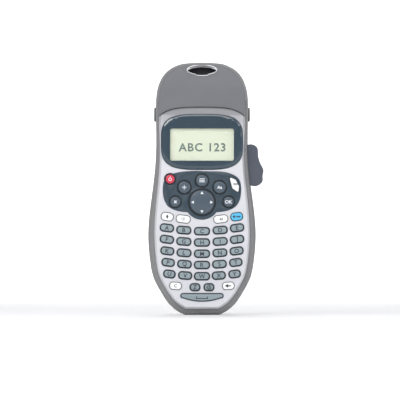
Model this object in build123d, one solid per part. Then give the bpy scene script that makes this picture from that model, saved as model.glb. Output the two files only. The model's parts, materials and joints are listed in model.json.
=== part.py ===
from build123d import *
import math
import os

# Handheld label maker, upright on its flat foot. Millimetres.
# +X is the user's right, -Y is the key face, +Z is up. The origin is the middle of the flat foot.

# ---- driving dimensions: outer form ----
BODY_HEIGHT = 205.0          # foot to crown
GRIP_WIDTH = 86.8            # widest place, over the keypad
GRIP_WIDE_Z = 65.0           # height of the widest place
HEAD_WIDTH = 74.6            # across the display and the crown
FOOT_WIDTH = 27.0            # flat foot
CROWN_RISE = 40.0            # height of the rounded crown
CROWN_POWER = 2.8            # squareness of the crown's curve
WALL = 2.0                   # moulded wall
FACE_Y = -17.0               # front face
PARTING_Y = -9.0             # where the front and back halves meet
GRIP_BACK_Y = 19.0           # back of the grip
HEAD_BACK_Y = 28.0           # back of the head
GRIP_FACE_INSET = 5.0        # face edge in from the silhouette, at the grip
HEAD_FACE_INSET = 2.4        # the same, at the head
FACE_EDGE_ROUND = 1.6        # rounding of the face edge
BACK_EDGE_ROUND = 5.0        # rounding of the back edges
SHOULDER_DEPTH = 4.0         # from the parting to the full silhouette
BEND_Z = 160.0               # the head's front starts to lean back here
MOUTH_Z = 197.6              # middle of the label mouth
MOUTH_WIDTH = 23.4
MOUTH_HEIGHT = 7.6
NECK_LOW_Z = 89.0            # finger neck at the back, lower and upper end
NECK_HIGH_Z = 107.0
PIECE_GAP = 0.15             # between fixed neighbours

# ---- driving dimensions: display ----
DISPLAY_Z = 139.1
BEZEL_WIDTH = 66.2
BEZEL_HEIGHT = 45.0
BEZEL_POWER = 3.4            # squareness of the bezel's outline
BEZEL_PROUD = 1.4
BEZEL_SEAT = 1.2             # depth of the seat in the face
BEZEL_LEDGE = 1.5            # width of the ledge that the bezel rests on
WINDOW_WIDTH = 51.2
WINDOW_HEIGHT = 25.8
WINDOW_Z = 136.9
LENS_THICK = 1.2
LENS_MARGIN = 0.9
LCD_MARGIN = 1.6
HOOD_MARGIN = 5.6            # face band between bezel and hood

# ---- driving dimensions: keys ----
KEY_PROUD = 1.2              # above the surface around a key
KEY_TRAVEL = 0.8
KEY_GAP = 0.3                # around a key in its hole
KEY_FLANGE = 0.6             # rim that keeps a key in
KEY_FLANGE_THICK = 1.0
KEY_REST_GAP = 0.3           # rim to wall at rest, stem to board when pressed
LETTER_HEIGHT = 6.8
LETTER_PITCH_Z = 9.05
LETTER_TOP_Z = 67.3          # middle key of the top letter row
PANEL_SEAT = 1.0
PANEL_THICK = 1.3
NAV_Z = 90.6
NAV_RADIUS = 10.4
NAV_LOBE_RADIUS = 14.0

# ---- driving dimensions: insides ----
BOARD_Y = -12.0              # front of the circuit board
BOARD_THICK = 1.6
BOARD_EDGE_GAP = 1.0
CELL_LENGTH = 50.5
CELL_DIAMETER = 14.5
CELL_GAP = 0.25
CONTACT_ROOM = 2.3           # springs and contacts at each end of a cell
BATTERY_BAY_LOW_Z = 28.0
BAY_WALL = 1.8
CASSETTE_WIDTH = 54.0
CASSETTE_HEIGHT = 68.0
CASSETTE_THICK = 17.0
CASSETTE_LOW_Z = 118.0
CASSETTE_GAP = 0.4
TAPE_WIDTH = 12.0
TAPE_END_DROP = 3.0          # the tape's cut end, below the mouth
COVER_GAP = 0.3
COVER_LEDGE = 1.2            # how far a cover laps over its bay's edge
COVER_PIN_RADIUS = 1.0
COVER_PIN_LENGTH = 2.0
COVER_BARREL_RADIUS = 1.8
HINGE_DROP = 1.6             # hinge line below the bay
SHAFT_GAP = 0.05             # radial, turning pins and shafts
ROLLER_RADIUS = 3.0
ROLLER_SHAFT_RADIUS = 1.2
LEVER_WIDTH = 14.0
LEVER_Y = 1.0
LEVER_PIN_RADIUS = 1.5
LEVER_GAP = 0.5
LEVER_PIVOT = (33.6, 133.0)
GEAR_RADIUS = 3.0
GEAR_THICK = 2.4
SCREW_RADIUS = 1.0
SCREW_HEAD_RADIUS = 2.0
SCREW_HEAD_THICK = 1.6
SCREW_LENGTH = 10.0
SCREW_SEAT = 2.5             # least wall under a screw head
SCREW_HOLE_GAP = 0.2
BOSS_RADIUS = 2.9
FRONT_BOSS_RADIUS = 1.9
PAD_Z = 161.6                # oval grip pads on the head's sides
PAD_Y = 3.0
PAD_HEIGHT = 11.0
PAD_DEPTH = 9.0
PAD_PROUD = 1.4

# ---- places worked out from the driving dimensions ----
FACE_INNER_Y = FACE_Y + WALL
CROWN_Z = BODY_HEIGHT - CROWN_RISE
MOUTH_LOW_Z = MOUTH_Z - MOUTH_HEIGHT / 2
BATTERY_BAY_HIGH_Z = BATTERY_BAY_LOW_Z + CELL_LENGTH + 2 * CONTACT_ROOM
BATTERY_BAY_HALF = 2 * (CELL_DIAMETER + CELL_GAP) + CELL_GAP
CELL_Y = GRIP_BACK_Y - WALL - CELL_GAP - CELL_DIAMETER / 2
BATTERY_FLOOR_Y = CELL_Y - CELL_DIAMETER / 2 - CELL_GAP
CASSETTE_BACK_Y = HEAD_BACK_Y - WALL - COVER_GAP
CASSETTE_FRONT_Y = CASSETTE_BACK_Y - CASSETTE_THICK
CASSETTE_BAY_HALF = CASSETTE_WIDTH / 2 + CASSETTE_GAP
TAPE_Y = CASSETTE_FRONT_Y + CASSETTE_THICK / 2
ROLLER_X = ROLLER_RADIUS + 0.4
CASSETTE_HIGH_Z = CASSETTE_LOW_Z + CASSETTE_HEIGHT
ROLLER_Z = CASSETTE_HIGH_Z - 7.0
NOTCH_LOW_Z = ROLLER_Z - 4.6
CASSETTE_FLOOR_Y = CASSETTE_FRONT_Y - CASSETTE_GAP - BAY_WALL
BATTERY_HINGE_Z = BATTERY_BAY_LOW_Z - HINGE_DROP
CASSETTE_HINGE_Z = CASSETTE_LOW_Z - CASSETTE_GAP - HINGE_DROP
LEVER_LOW_Y = LEVER_Y - LEVER_WIDTH / 2
LEVER_HIGH_Y = LEVER_Y + LEVER_WIDTH / 2
FRONT_SCREWS = [(-13.2, 20.2, -14.0), (13.2, 20.2, -14.0), (0.0, 74.5, -14.0)]   # x, z, tip y
HOOD_SCREWS = [(-31.5, 172.0, -6.0), (31.5, 172.0, -6.0)]


# ---- helpers ----
def at_y(shape, y):
    """Stand a flat XY sketch up in the XZ plane at depth y."""
    return Plane.XZ.offset(-y) * shape


def prism(shape, y_low, y_high):
    """A flat XY sketch stood up in XZ and extruded from y_low to y_high."""
    return extrude(at_y(shape, y_low), amount=y_high - y_low, dir=(0, 1, 0))


def block(x_low, x_high, y_low, y_high, z_low, z_high):
    size = (x_high - x_low, y_high - y_low, z_high - z_low)
    middle = ((x_low + x_high) / 2, (y_low + y_high) / 2, (z_low + z_high) / 2)
    return Pos(*middle) * Box(*size)


def rod_y(radius, x, z, y_low, y_high):
    return prism(Pos(x, z) * Circle(radius), y_low, y_high)


def rod_x(radius, y, z, x_low, x_high):
    return Pos((x_low + x_high) / 2, y, z) * Rot(0, 90, 0) * Cylinder(radius, x_high - x_low)


def superellipse(half_width, half_height, power, middle_z, steps=7):
    """A closed rounded-rectangle outline, symmetric about X = 0."""
    points = []
    for index in range(4 * steps):
        angle = 2 * math.pi * index / (4 * steps)
        cos_part, sin_part = math.cos(angle), math.sin(angle)
        x = half_width * math.copysign(abs(cos_part) ** (2 / power), cos_part)
        z = half_height * math.copysign(abs(sin_part) ** (2 / power), sin_part)
        points.append((x, middle_z + z))
    return make_face(Spline(*points, periodic=True))


def grown(points, margin):
    """A closed, clockwise ring of points moved outwards by margin."""
    moved = []
    for index, (x, z) in enumerate(points):
        before, after = points[index - 1], points[(index + 1) % len(points)]
        run, rise = after[0] - before[0], after[1] - before[1]
        length = math.hypot(run, rise)
        moved.append((x - margin * rise / length, z + margin * run / length))
    return moved


# ---- outer form ----
def silhouette():
    """Right half of the front silhouette, foot to crown, as (x, z)."""
    grip, head, foot = GRIP_WIDTH / 2, HEAD_WIDTH / 2, FOOT_WIDTH / 2
    points = [(foot, 0.0)]
    for share, height in [(0.606, 0.132), (0.783, 0.303), (0.899, 0.457), (0.963, 0.655), (1.0, 1.0)]:
        points.append((grip * share, GRIP_WIDE_Z * height))
    waist_z = CROWN_Z - 37.0
    for share in (0.4, 0.8):
        z = GRIP_WIDE_Z + (waist_z - GRIP_WIDE_Z) * share
        points.append((grip + (head - grip) * (0.35 if share == 0.4 else 0.86), z))
    points.append((head - 0.3, waist_z + 10.0))
    for degrees in (0, 15, 30, 43, 56, 68, 79):
        angle = math.radians(degrees)
        x = head * math.cos(angle) ** (2 / CROWN_POWER)
        z = CROWN_Z + CROWN_RISE * math.sin(angle) ** (2 / CROWN_POWER)
        points.append((x, z))
    return points


def face_inset(z):
    """How far the face edge stands in from the silhouette, blended from grip to head."""
    share = min(1.0, max(0.0, (z - GRIP_WIDE_Z) / (CROWN_Z - GRIP_WIDE_Z)))
    return GRIP_FACE_INSET + (HEAD_FACE_INSET - GRIP_FACE_INSET) * share


def outline(face_share, inset):
    """The silhouette drawn in by face_share of the face inset plus a plain inset."""
    points = silhouette()
    low = face_share * GRIP_FACE_INSET + inset
    right = []
    for index in range(1, len(points)):
        x, z = points[index]
        before = points[index - 1]
        after = points[index + 1] if index + 1 < len(points) else (0.0, BODY_HEIGHT)
        run, rise = after[0] - before[0], after[1] - before[1]
        length = math.hypot(run, rise)
        amount = face_share * face_inset(z) + inset
        right.append((x - amount * rise / length, z + amount * run / length))
    foot = (FOOT_WIDTH / 2 - 0.1 * low, low)
    crown = (0.0, BODY_HEIGHT - face_share * HEAD_FACE_INSET - inset)
    left = [(-x, z) for x, z in reversed(right)]
    curve = Spline(foot, *right, crown, *left, (-foot[0], foot[1]))
    return make_face([curve, Line((-foot[0], foot[1]), foot)])


def side_profile(inset):
    """The body from the side, in (y, z), drawn in by inset."""
    front, crown = FACE_Y + inset, BODY_HEIGHT + 2.1 - inset * 1.06
    lean = ThreePointArc(
        (front, BEND_Z - 0.35 * inset),
        (TAPE_Y - TAPE_WIDTH / 2 + 0.84 * inset - 0.6, MOUTH_LOW_Z - 0.6 * inset),
        (HEAD_BACK_Y - inset, crown),
    )
    rest = Polyline(
        (HEAD_BACK_Y - inset, crown),
        (HEAD_BACK_Y - inset, NECK_HIGH_Z + 0.4 * inset),
        (GRIP_BACK_Y - inset, NECK_LOW_Z + 0.4 * inset),
        (GRIP_BACK_Y - inset, -1.0),
        (front, -1.0),
        (front, BEND_Z - 0.35 * inset),
    )
    return make_face([lean, rest])


def side_slab(inset):
    """The side profile, extruded across the whole width."""
    return extrude(Plane.YZ.offset(-GRIP_WIDTH) * side_profile(inset), amount=2 * GRIP_WIDTH, dir=(1, 0, 0))


def depth_loft(back_y, inset):
    """Sections along Y from the face to back_y, with rounded front and back edges."""
    front, back = FACE_Y + inset, back_y - inset
    stations = [
        (front, 1.0, inset + FACE_EDGE_ROUND),
        (FACE_Y + WALL + FACE_EDGE_ROUND, 1.0, inset),
        (PARTING_Y, 1.0, inset),
        (PARTING_Y + 0.3 * SHOULDER_DEPTH, 0.4, inset),
        (PARTING_Y + SHOULDER_DEPTH, 0.0, inset),
        (back - BACK_EDGE_ROUND, 0.0, inset),
        (back - 0.3 * BACK_EDGE_ROUND, 0.0, inset + 0.3 * BACK_EDGE_ROUND),
        (back, 0.0, inset + BACK_EDGE_ROUND),
    ]
    sections = [at_y(outline(share, amount), y) for y, share, amount in stations]
    return loft(sections, ruled=True)


def body_solid(inset):
    """The whole outer form drawn in by inset: grip and head in one solid."""
    low = depth_loft(GRIP_BACK_Y, inset)
    high = depth_loft(HEAD_BACK_Y, inset)
    high = high & block(-GRIP_WIDTH, GRIP_WIDTH, -100, 100, NECK_LOW_Z, 2 * BODY_HEIGHT)
    return (low + high) & side_slab(inset)


# ---- outlines on the face ----
def bezel_outline(margin):
    return superellipse(BEZEL_WIDTH / 2 + margin, BEZEL_HEIGHT / 2 + margin, BEZEL_POWER, DISPLAY_Z)


def window(margin):
    shape = RectangleRounded(WINDOW_WIDTH + 2 * margin, WINDOW_HEIGHT + 2 * margin, 1.5 + margin / 2)
    return Pos(0, WINDOW_Z) * shape


def panel_outline(margin):
    """The dark panel behind the round keys: a domed shield with a lobe round the four-way pad."""
    right = [(15.0, 115.2), (24.0, 113.2), (29.6, 109.2), (31.4, 102.0)]
    right += [(30.9, 95.0), (27.8, 88.0), (21.5, 84.2), (11.0, 82.6)]
    left = [(-x, z) for x, z in reversed(right)]
    shield = make_face(Spline(*grown([(0.0, 115.6)] + right + left, margin), periodic=True))
    lobe = Pos(0, NAV_Z) * Circle(NAV_LOBE_RADIUS + margin)
    ear = Pos(*POWER_PLACE) * Circle(POWER_RADIUS + 1.0 + margin)
    return shield + lobe + ear


def hood_boundary(margin):
    """The closed curve round the display that the hood stops at."""
    return bezel_outline(HOOD_MARGIN + margin)


# ---- keys ----
POWER_PLACE = (-25.6, 109.2)
POWER_RADIUS = 3.9
ROUND_KEY_RADIUS = 5.1
SIDE_KEY_RADIUS = 4.4
RING_GAP = 2.2               # from the four-way pad to the cut side of its neighbours


def round_key(x, z, radius):
    """A round key, cut back where it would run into the four-way pad's ring."""
    return Pos(x, z) * Circle(radius) - Pos(0, NAV_Z) * Circle(NAV_RADIUS + RING_GAP)


def pill_key(x, z, width, height, tilt, roundness=0.46):
    return Pos(x, z) * Rot(0, 0, tilt) * RectangleRounded(width, height, height * roundness)


def leaf_key():
    points = [(21.6, 111.4), (27.2, 108.9), (30.0, 103.6), (29.6, 97.9), (24.2, 101.6)]
    face = make_face(Polyline(*points, close=True))
    return fillet(face.vertices(), 1.2)


def cut_corner_key(side):
    """A white key whose inner upper corner follows the panel's lobe."""
    pill = pill_key(side * 15.1, 77.1, 11.4, 6.2, side * 7.0)
    return pill - Pos(0, NAV_Z) * Circle(NAV_LOBE_RADIUS + 1.3)


def space_key():
    """The long key: straight on top, its lower edge bowed like the foot."""
    top, side, low = 17.4, 15.6, 10.9
    edges = [
        Line((-side, top), (side, top)),
        ThreePointArc((side, top), (side + 1.6, top - 2.2), (side - 0.8, top - 3.9)),
        ThreePointArc((side - 0.8, top - 3.9), (0.0, low), (0.8 - side, top - 3.9)),
        ThreePointArc((0.8 - side, top - 3.9), (-side - 1.6, top - 2.2), (-side, top)),
    ]
    return make_face(edges)


def letter_keys():
    """Five rows of five, on a shallow smile: outer keys stand higher and tilt outwards."""
    names = "abcdefghijklmnopqrstuvwxy"
    column_x = [28.2, 14.6, 0.0]
    column_rise = [2.7, 0.9, 0.0]
    column_width = [11.2, 11.8, 12.6]
    column_tilt = [8.0, 4.5, 0.0]
    row_draw_in = [0.0, 0.0, 0.35, 1.0, 2.0]
    keys = {}
    for index, name in enumerate(names):
        row, column = divmod(index, 5)
        side = -1 if column < 2 else 1
        rank = min(column, 4 - column)
        draw_in = row_draw_in[row] * (1.0, 0.55, 0.0)[rank]
        rise = column_rise[rank] * (1.0 - 0.08 * row)
        width = column_width[rank] - 0.75 * draw_in
        x = side * (column_x[rank] - draw_in)
        z = LETTER_TOP_Z - LETTER_PITCH_Z * row + rise
        keys["key_" + name] = pill_key(x, z, width, LETTER_HEIGHT - 0.4, side * column_tilt[rank])
    return keys


def panel_keys():
    return {
        "key_power": Pos(*POWER_PLACE) * Circle(POWER_RADIUS),
        "key_settings": round_key(0.0, 108.0, ROUND_KEY_RADIUS),
        "key_insert": round_key(-14.2, 102.6, ROUND_KEY_RADIUS),
        "key_format": round_key(14.2, 102.6, ROUND_KEY_RADIUS),
        "key_cancel": round_key(-21.4, 90.9, SIDE_KEY_RADIUS),
        "key_ok": round_key(21.4, 90.9, SIDE_KEY_RADIUS),
        "key_print": leaf_key(),
        "nav_pad": Pos(0, NAV_Z) * Circle(NAV_RADIUS),
    }


def face_keys():
    keys = {
        "key_caps": pill_key(-27.9, 79.0, 9.8, 6.6, -8.0),
        "key_numlock": cut_corner_key(-1),
        "key_accents": cut_corner_key(1),
        "key_save": pill_key(27.9, 79.0, 9.8, 6.6, 8.0),
    }
    keys.update(letter_keys())
    keys["key_z"] = pill_key(-5.6, 22.3, 8.4, 6.2, 0.0)
    keys["key_symbol"] = pill_key(5.6, 22.3, 8.4, 6.2, 0.0)
    keys["key_clear"] = pill_key(-21.2, 23.4, 9.6, 6.0, -4.0)
    keys["key_backspace"] = pill_key(21.2, 23.4, 9.6, 6.0, 4.0)
    keys["key_space"] = space_key()
    return keys


def make_key(shape, surface_y, rim_limit):
    """A cap through the face, a rim behind it, cut back near the wall, and a short stem over the board."""
    rim_y = FACE_INNER_Y + KEY_REST_GAP
    stem_y = rim_y + KEY_FLANGE_THICK
    stem_end = BOARD_Y - KEY_TRAVEL - KEY_REST_GAP
    cap = prism(shape, surface_y - KEY_PROUD, rim_y)
    rim = prism(offset(shape, amount=KEY_FLANGE) & rim_limit, rim_y, stem_y)
    middle = shape.center()
    stem = rod_y(1.5, middle.X, middle.Y, stem_y, stem_end)
    return cap + rim + stem


# ---- front pieces ----
def front_zone():
    """The layer under the front surface that the front pieces are cut from."""
    depth = PARTING_Y - FACE_Y
    lean_depth = extrude(Plane.YZ.offset(-GRIP_WIDTH) * side_profile(depth), amount=2 * GRIP_WIDTH, dir=(1, 0, 0))
    behind = block(-GRIP_WIDTH, GRIP_WIDTH, PARTING_Y, 200, -10, BEND_Z - 10)
    back_layer = block(-GRIP_WIDTH, GRIP_WIDTH, HEAD_BACK_Y - depth - 0.5, 200, -10, MOUTH_Z)
    return side_slab(0.0) - lean_depth - behind - back_layer


def front_core(zone, margin):
    """Everything inside the face edge and in front of the parting."""
    return prism(outline(1.0, margin), FACE_Y - 5, HEAD_BACK_Y - BACK_EDGE_ROUND) & zone


def front_bosses(places, zone):
    bosses = []
    for x, z, tip_y in places:
        boss_end = tip_y + SCREW_LENGTH - SCREW_SEAT
        bosses.append(rod_y(FRONT_BOSS_RADIUS, x, z, FACE_Y + 1.0, boss_end) & zone)
    return bosses


def pilot_holes(places):
    return [rod_y(SCREW_RADIUS, x, z, tip_y, tip_y + SCREW_LENGTH) for x, z, tip_y in places]


def make_hood_and_front(outer, inner, zone):
    """The grey hood over the crown and the silver front shell below it."""
    skin = (outer & front_core(zone, 0.0)) - inner
    crown = block(-GRIP_WIDTH, GRIP_WIDTH, FACE_Y - 5, 100, DISPLAY_Z + 5, 2 * BODY_HEIGHT)
    hood_cut = crown - prism(hood_boundary(PIECE_GAP), FACE_Y - 6, 101)
    front_cut = crown - prism(hood_boundary(0.0), FACE_Y - 6, 101)
    hood = skin & hood_cut
    for boss in front_bosses(HOOD_SCREWS, zone):
        hood += boss
    for hole in pilot_holes(HOOD_SCREWS):
        hood -= hole
    mouth = Pos(0, MOUTH_Z) * Ellipse(MOUTH_WIDTH / 2, MOUTH_HEIGHT / 2)
    hood -= prism(mouth, FACE_Y - 5, 60)

    front = skin - front_cut
    for boss in front_bosses(FRONT_SCREWS, zone):
        front += boss
    for hole in pilot_holes(FRONT_SCREWS):
        front -= hole
    front -= prism(bezel_outline(PIECE_GAP), FACE_Y - 1, FACE_Y + BEZEL_SEAT)
    front -= prism(bezel_outline(-BEZEL_LEDGE), FACE_Y - 1, PARTING_Y)
    front -= prism(panel_outline(PIECE_GAP), FACE_Y - 1, FACE_Y + PANEL_SEAT)
    for shape in list(panel_keys().values()) + list(face_keys().values()):
        front -= prism(offset(shape, amount=KEY_GAP), FACE_Y - 1, FACE_INNER_Y + 1)
    return hood, front


def make_bezel():
    proud = FACE_Y - BEZEL_PROUD
    seat = FACE_Y + BEZEL_SEAT
    body = prism(bezel_outline(0.0), FACE_Y, seat)
    dome = [at_y(bezel_outline(0.0), FACE_Y), at_y(bezel_outline(-0.8), FACE_Y - 0.8), at_y(bezel_outline(-3.0), proud)]
    body += loft(dome, ruled=True)
    body -= prism(window(0.0), proud - 1, seat + 1)
    body -= prism(window(LENS_MARGIN), seat - LENS_THICK, seat + 1)
    return body


def make_lens():
    seat = FACE_Y + BEZEL_SEAT
    return prism(window(LENS_MARGIN - PIECE_GAP), seat - LENS_THICK, seat)


def make_lcd():
    return prism(window(LCD_MARGIN), FACE_Y + BEZEL_SEAT, BOARD_Y)


def make_panel():
    panel = prism(panel_outline(0.0), FACE_Y + PANEL_SEAT - PANEL_THICK, FACE_Y + PANEL_SEAT)
    for shape in panel_keys().values():
        panel -= prism(offset(shape, amount=KEY_GAP), FACE_Y - 2, FACE_INNER_Y)
    return panel


# ---- insides ----
def make_board():
    """The circuit board, its driver chips and the wire header for the print head."""
    edge = WALL + BOARD_EDGE_GAP
    sheet = prism(outline(1.0, edge), BOARD_Y, BOARD_Y + BOARD_THICK)
    sheet &= block(-GRIP_WIDTH, GRIP_WIDTH, BOARD_Y, BOARD_Y + BOARD_THICK, 0, BEND_Z - 1)
    for x, z, _ in FRONT_SCREWS:
        sheet -= rod_y(FRONT_BOSS_RADIUS + KEY_GAP, x, z, BOARD_Y - 1, BOARD_Y + BOARD_THICK + 1)
    back = BOARD_Y + BOARD_THICK
    sheet += block(-6, 6, back, back + 1.2, 58, 70)
    sheet += block(10, 18, back, back + 1.2, 44, 52)
    sheet += block(-18, -12, back, back + 1.2, 92, 104)
    return sheet


def make_print_head():
    """The thermal head on its sprung carrier, left of the tape."""
    front, back = TAPE_Y - TAPE_WIDTH / 2, TAPE_Y + TAPE_WIDTH / 2
    plate = block(-2.2, -0.4, front, back, ROLLER_Z - 3.6, ROLLER_Z + 3.6)
    arm = block(-12.0, -2.2, front + 2, back - 2, ROLLER_Z - 1.2, ROLLER_Z + 1.2)
    foot = block(-14.0, -12.0, front + 2, back - 2, ROLLER_Z - 1.4, ROLLER_Z + 3.0)
    return plate + arm + foot


def make_roller():
    """The rubber platen on its shaft, with the feed gear at the front end."""
    front, back = TAPE_Y - TAPE_WIDTH / 2, TAPE_Y + TAPE_WIDTH / 2
    shaft_front = CASSETTE_FLOOR_Y - GEAR_THICK - 1.1
    shaft = rod_y(ROLLER_SHAFT_RADIUS, ROLLER_X, ROLLER_Z, shaft_front, back + 1.5)
    roller = rod_y(ROLLER_RADIUS, ROLLER_X, ROLLER_Z, front, back)
    gear = rod_y(GEAR_RADIUS, ROLLER_X, ROLLER_Z, shaft_front, shaft_front + GEAR_THICK)
    return shaft + roller + gear


def make_motor():
    """A small feed motor standing behind the display, on a saddle against the cassette bay."""
    x, y, low, high = -20.0, -1.4, 148.0, 168.0
    can = Pos(x, y, (low + high) / 2) * Cylinder(6.0, high - low)
    neck = Pos(x, y, high + 1.0) * Cylinder(2.0, 2.0)
    pinion = Pos(x, y, high + 4.0) * Cylinder(1.6, 4.0)
    saddle = block(x - 5.0, x + 5.0, y + 3.6, CASSETTE_FLOOR_Y, low + 3, high - 3)
    return can + neck + pinion + saddle


def make_cassette():
    """The tape cassette, rounded at the foot, notched over the print head, with its tape end."""
    bottom_round = 22.0
    middle_z = (CASSETTE_LOW_Z + CASSETTE_HIGH_Z) / 2
    shape = Pos(0, middle_z) * RectangleRounded(CASSETTE_WIDTH, CASSETTE_HEIGHT, 4.0)
    low = CASSETTE_LOW_Z
    half = CASSETTE_WIDTH / 2
    corner_box = Pos(0, low + bottom_round / 2) * Rectangle(CASSETTE_WIDTH, bottom_round)
    rounded = Pos(half - bottom_round, low + bottom_round) * Circle(bottom_round)
    rounded += Pos(bottom_round - half, low + bottom_round) * Circle(bottom_round)
    rounded += Pos(0, low + bottom_round / 2) * Rectangle(CASSETTE_WIDTH - 2 * bottom_round, bottom_round)
    shape = (shape - corner_box) + rounded
    body = prism(shape, CASSETTE_FRONT_Y, CASSETTE_BACK_Y)
    body -= block(-15.5, 8.5, CASSETTE_FRONT_Y - 1, CASSETTE_BACK_Y + 1, NOTCH_LOW_Z, CASSETTE_HIGH_Z + 1)
    front, back = TAPE_Y - TAPE_WIDTH / 2, TAPE_Y + TAPE_WIDTH / 2
    tape = block(-0.1, 0.1, front, back, NOTCH_LOW_Z, MOUTH_LOW_Z - TAPE_END_DROP)
    return Compound(children=[body, tape])


def cell_places():
    pitch = CELL_DIAMETER + CELL_GAP
    return [(index - 1.5) * pitch for index in range(4)]


def make_batteries():
    """Four cells side by side, every other one turned over."""
    button = 1.2
    low = BATTERY_BAY_LOW_Z + CONTACT_ROOM
    cells = []
    for index, x in enumerate(cell_places()):
        can_low = low + (button if index % 2 else 0.0)
        can = Pos(x, CELL_Y, can_low + (CELL_LENGTH - button) / 2) * Cylinder(CELL_DIAMETER / 2, CELL_LENGTH - button)
        button_z = low + button / 2 if index % 2 else low + CELL_LENGTH - button / 2
        cells.append(can + Pos(x, CELL_Y, button_z) * Cylinder(2.75, button))
    return Compound(children=cells)


def make_contacts():
    """A plate and a spring or pad at each end of each cell."""
    plate_thick, plate_half = 0.4, 4.8
    pieces = []
    for index, x in enumerate(cell_places()):
        for top in (False, True):
            springy = (index % 2 == 0) != top
            radius = 3.4 if springy else 2.0
            low = BATTERY_BAY_LOW_Z if not top else BATTERY_BAY_HIGH_Z - CONTACT_ROOM
            plate_low = BATTERY_BAY_LOW_Z if not top else BATTERY_BAY_HIGH_Z - plate_thick
            plate = block(x - plate_half, x + plate_half, CELL_Y - plate_half, CELL_Y + plate_half,
                          plate_low, plate_low + plate_thick)
            post = Pos(x, CELL_Y, low + CONTACT_ROOM / 2) * Cylinder(radius, CONTACT_ROOM)
            pieces.append(plate + post)
    return Compound(children=pieces)


def make_screws():
    screws = []
    for x, z, tip_y in FRONT_SCREWS + HOOD_SCREWS:
        head_y = tip_y + SCREW_LENGTH
        head = rod_y(SCREW_HEAD_RADIUS, x, z, head_y, head_y + SCREW_HEAD_THICK)
        screws.append(head + rod_y(SCREW_RADIUS, x, z, tip_y, head_y))
    return Compound(children=screws)


# ---- back pieces ----
def cover_plate(half, low, high, outer_y, margin):
    """The flat of a cover, its hinge barrel along the lower edge, grown all round by margin."""
    plate = block(-half - margin, half + margin, outer_y - WALL, outer_y + margin, low, high + margin)
    barrel_y = outer_y - COVER_BARREL_RADIUS
    barrel = rod_x(COVER_BARREL_RADIUS + margin, barrel_y, low, -half - margin, half + margin)
    return plate + barrel


def cover_pins(half, low, outer_y, radius, margin):
    barrel_y = outer_y - COVER_BARREL_RADIUS
    return rod_x(radius, barrel_y, low, -half - COVER_PIN_LENGTH - margin, half + COVER_PIN_LENGTH + margin)


BATTERY_COVER = (BATTERY_BAY_HALF + COVER_LEDGE, BATTERY_HINGE_Z, BATTERY_BAY_HIGH_Z + COVER_LEDGE, GRIP_BACK_Y)
CASSETTE_COVER = (CASSETTE_BAY_HALF + COVER_LEDGE, CASSETTE_HINGE_Z,
                  CASSETTE_HIGH_Z + CASSETTE_GAP + COVER_LEDGE, HEAD_BACK_Y)


def make_cover(cover):
    half, low, high, outer_y = cover
    lid = cover_plate(half, low, high, outer_y, 0.0)
    lid += cover_pins(half, low, outer_y, COVER_PIN_RADIUS, 0.0)
    latch_room = block(-8.0, 8.0, outer_y - 0.8, outer_y + 1, high - 5.0, high - 3.0)
    return lid - latch_room


def bay(half, low, high, front, back, floor):
    """An open box with its floor towards the face: the walls, less the room inside."""
    walls = block(-half - BAY_WALL, half + BAY_WALL, floor, back, low - BAY_WALL, high + BAY_WALL)
    room = block(-half, half, front, back + 10, low, high)
    return walls, room


def lever_outline(margin):
    """The cutter lever from the front: an eye on its pin and a wavy thumb piece outside the wall."""
    x, z = LEVER_PIVOT
    points = [(35.8, 136.5), (42.2, 136.9), (44.5, 135.0), (45.3, 129.5), (46.0, 125.2), (48.2, 120.0), (49.7, 115.6)]
    points += [(49.0, 112.2), (48.9, 107.8), (47.2, 105.5), (41.2, 103.8), (38.4, 105.2), (37.0, 114.0), (36.0, 126.0)]
    shape = make_face(Spline(*points, periodic=True)) + Pos(x, z) * Circle(3.0)
    neck = make_face(Polyline((x, z + 2.9), (38.5, 136.0), (38.5, 128.4), (x + 1.2, z - 2.7), close=True))
    shape += neck
    return offset(shape, amount=margin) if margin else shape


def make_lever():
    x, z = LEVER_PIVOT
    lever = prism(lever_outline(0.0), LEVER_LOW_Y, LEVER_HIGH_Y)
    pin = rod_y(LEVER_PIN_RADIUS, x, z, LEVER_LOW_Y - 2.3, LEVER_HIGH_Y + 2.8)
    return lever + pin


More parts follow.
